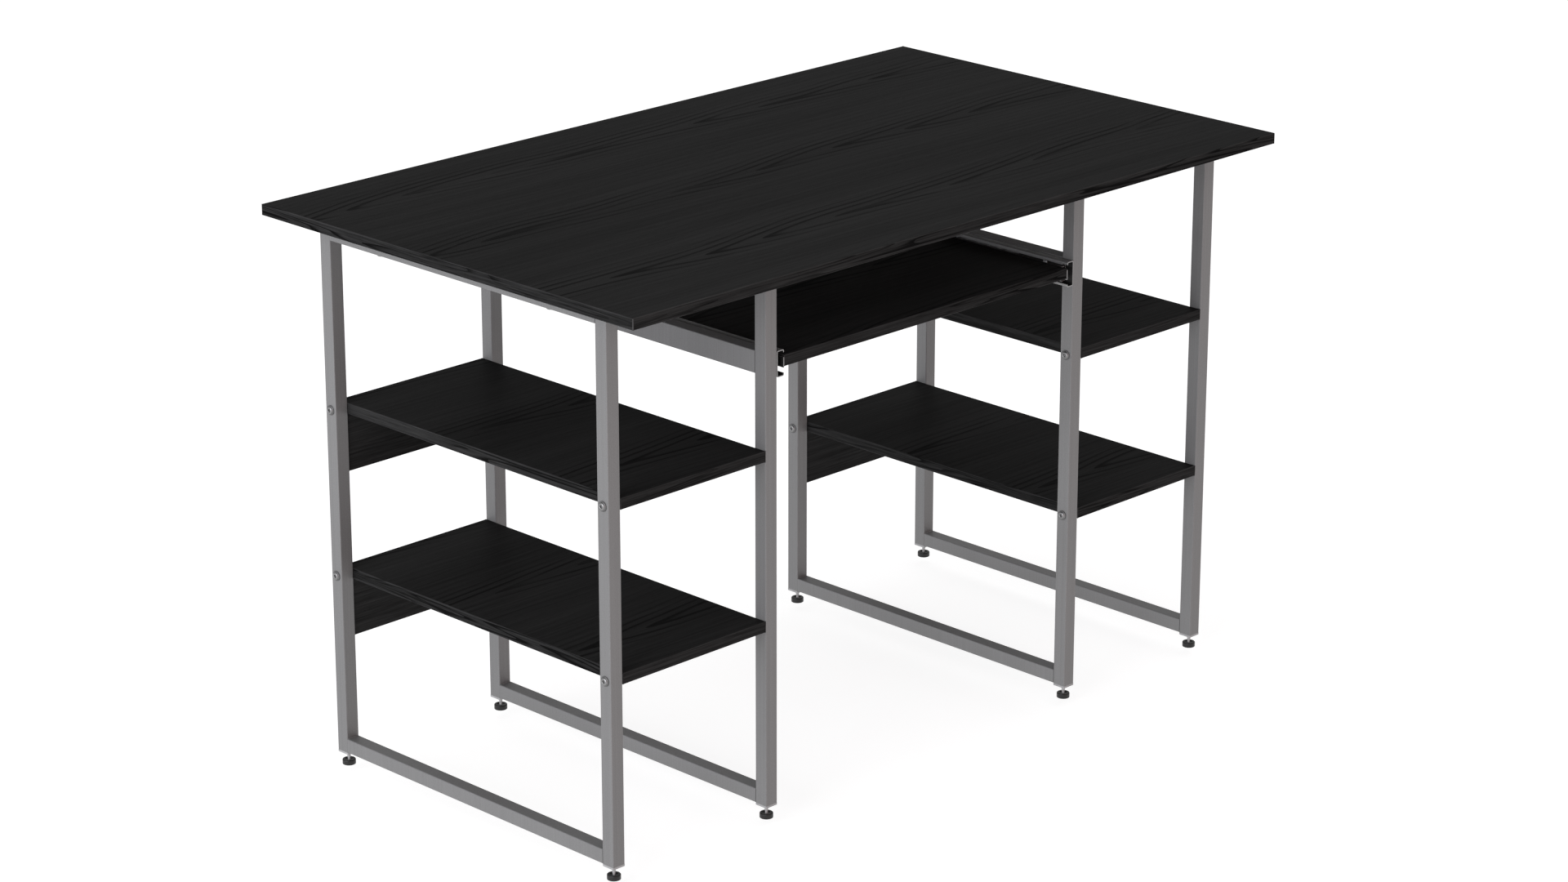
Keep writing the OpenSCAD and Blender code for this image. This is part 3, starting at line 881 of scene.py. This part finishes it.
class Slide:
    """Where one side's slide is: u is a distance from the rail's face, v a height in the slide."""

    def __init__(self, side, materials):
        rail_low, rail_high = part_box(side + "_tray_rail")
        outer_low, outer_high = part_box(side + "_slide_outer")
        self.side = side
        self.inward = 1 if side == "left" else -1
        self.face_x = rail_high.x if side == "left" else rail_low.x
        self.middle_z = (outer_low.z + outer_high.z) / 2
        self.steels = [materials[key] for key in ("slide_steel", "cut_and_highlight_steel", "channel_shade_steel")]

    def place(self, u, y, v):
        return (self.face_x + self.inward * u, y, self.middle_z + v)

    def reach(self, box):
        """A box's least and greatest distance from the rail's face."""
        return sorted(self.inward * (corner.x - self.face_x) for corner in box)

    def add_member(self, name, bm, body):
        node = f"{self.side}_slide_{name}"
        return add_piece(node + "_bent", finish_mesh(bm, node + "_bent"), body,
                         self.steels, [node])


def make_outer_member(slide):
    """The channel on the rail, with lips that hold the balls in."""
    low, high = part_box(slide.side + "_slide_outer")
    half = SHEET_T / 2
    lip_u = slide.reach((low, high))[1] - half
    top = (high.z - low.z) / 2 - half
    lip_end = top + half - LIP_H
    bm = bmesh.new()
    path = [(lip_u, lip_end), (lip_u, top), (half, top), (half, -top), (lip_u, -top),
            (lip_u, -lip_end)]
    add_bent_strip(bm, path, low.y, high.y, slide.place)
    outer = slide.add_member("outer", bm, "root")
    drill(outer, [slide.place(half, low.y + y, 0) for y in RAIL_HOLES], RAIL_HOLE_R)


def make_middle_member(slide):
    """The plain channel between the other two."""
    low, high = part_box(slide.side + "_slide_middle")
    half = SHEET_T / 2
    near, far = slide.reach((low, high))
    top = (high.z - low.z) / 2 - half
    bm = bmesh.new()
    path = [(far, top), (near + half, top), (near + half, -top), (far, -top)]
    add_bent_strip(bm, path, low.y, high.y, slide.place)
    slide.add_member("middle", bm, slide.side + "_slide_middle")


def make_inner_member(slide):
    """The channel on the tray, with a flat front end and a stop tab on top."""
    low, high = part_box(slide.side + "_slide_inner")
    half = SHEET_T / 2
    near, far = slide.reach((low, high))
    web_u = far - half
    top = slide.middle_z - low.z - half
    bm = bmesh.new()
    path = [(near, -top), (web_u, -top), (web_u, top), (near, top)]
    add_bent_strip(bm, path, low.y + FLAT_END, high.y, slide.place)
    flat = (slide.place(far - SHEET_T, low.y, -top + SHEET_BEND_R),
            slide.place(far, low.y + FLAT_END, top - SHEET_BEND_R))
    tab = (slide.place(far - SHEET_T, low.y + STOP_TAB[0], top - half),
           slide.place(far, low.y + STOP_TAB[1], high.z - slide.middle_z))
    for ends in (flat, tab):
        box_low = [min(a, b) for a, b in zip(*ends)]
        box_high = [max(a, b) for a, b in zip(*ends)]
        # The flat and the tab take the lighter cut steel: bare cut steel and a painted highlight.
        vertices = add_box(bm, box_low, box_high, CUT_AND_HIGHLIGHT_SLOT)
        for face in faces_of(vertices):
            face.normal_update()
            # Faces towards the rail, inside the channel, are near black: painted shade.
            if face.normal.x * slide.inward < -0.9:
                face.material_index = CHANNEL_SHADE_SLOT
        bevel_edges(bm, edges_of(vertices), PLATE_ARRIS, 2)
    inner = slide.add_member("inner", bm, "keyboard_tray")
    drill(inner, [slide.place(web_u, low.y + y, 0) for y in TRAY_HOLES], TRAY_HOLE_R)


def make_slides(materials):
    for side in SIDES:
        slide = Slide(side, materials)
        make_outer_member(slide)
        make_middle_member(slide)
        make_inner_member(slide)


def dress_cad_nodes(frame, materials):
    """Gives each CAD node that stays its material, in place of the plain one."""
    slots = {}
    for node in frame["nodes"]:
        if node.endswith(("_post", "_rail")):
            slots[node] = "silver_paint"
        elif node.endswith("_ball_cage"):
            slots[node] = "cut_and_highlight_steel"
        elif node in ("slide_screws", "tray_screws"):
            slots[node] = "screw_steel"
        elif node == "panel_dowels":
            slots[node] = "beech"
    for node, slot in slots.items():
        piece = frame["nodes"][node]
        piece.data.materials.clear()
        piece.data.materials.append(materials[slot])


# -------------------------------------------------------------------- studio


def add_softbox(name, at, aim, size, radiance, colour):
    """A rectangular light that faces the point aim, given by its radiance."""
    light = bpy.data.lights.new(name, "AREA")
    light.shape = "RECTANGLE"
    light.size, light.size_y = size
    light.energy = radiance * math.pi * size[0] * size[1]
    light.color = colour
    lamp = bpy.data.objects.new(name, light)
    lamp.location = at
    lamp.rotation_mode = "QUATERNION"
    lamp.rotation_quaternion = (Vector(aim) - Vector(at)).to_track_quat("-Z", "Y")
    lamp.visible_camera = False
    bpy.context.scene.collection.objects.link(lamp)


def make_studio():
    """The floor, the room's even light and the soft lights."""
    world = bpy.data.worlds.new("studio_room")
    world.use_nodes = True
    background = world.node_tree.nodes["Background"]
    background.inputs["Color"].default_value = (1.0, 1.0, 1.0, 1.0)
    background.inputs["Strength"].default_value = ROOM_LIGHT
    bpy.context.scene.world = world
    for name, setting in LIGHTS.items():
        add_softbox(name, **setting)

    half = FLOOR_SIZE / 2
    bm = bmesh.new()
    outline = [(-half, -half), (half, -half), (half, half), (-half, half)]
    bm.faces.new([bm.verts.new((x, y, FLOOR_Z)) for x, y in outline])
    mesh = bpy.data.meshes.new("studio_floor")
    bm.to_mesh(mesh)
    bm.free()
    mesh.materials.append(floor_material())
    floor = bpy.data.objects.new("studio_floor", mesh)
    bpy.context.scene.collection.objects.link(floor)


def make_camera():
    """A long lens from the front left, a little above the desk."""
    camera = bpy.data.cameras.new("camera")
    camera.lens = CAMERA_LENS
    camera.sensor_width = CAMERA_SENSOR
    camera.clip_end = 100
    eye = bpy.data.objects.new("camera", camera)
    eye.location = CAMERA_AT
    eye.rotation_mode = "QUATERNION"
    eye.rotation_quaternion = Vector(CAMERA_LOOKS).to_track_quat("-Z", "Y")
    bpy.context.scene.collection.objects.link(eye)
    bpy.context.scene.camera = eye
    bpy.context.scene.view_settings.view_transform = "Standard"


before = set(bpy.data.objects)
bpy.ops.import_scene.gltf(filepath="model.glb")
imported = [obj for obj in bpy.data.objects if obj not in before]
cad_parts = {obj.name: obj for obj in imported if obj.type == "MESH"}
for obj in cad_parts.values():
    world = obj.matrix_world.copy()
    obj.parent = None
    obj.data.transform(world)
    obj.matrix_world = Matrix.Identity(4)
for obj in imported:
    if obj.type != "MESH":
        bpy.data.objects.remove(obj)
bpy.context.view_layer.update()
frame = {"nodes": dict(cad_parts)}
made = make_materials()
dress_cad_nodes(frame, made)
make_boards(made)
make_welds(made)
make_end_caps(made)
make_feet(made)
make_m6_screws(made)
make_slides(made)
make_studio()
make_camera()
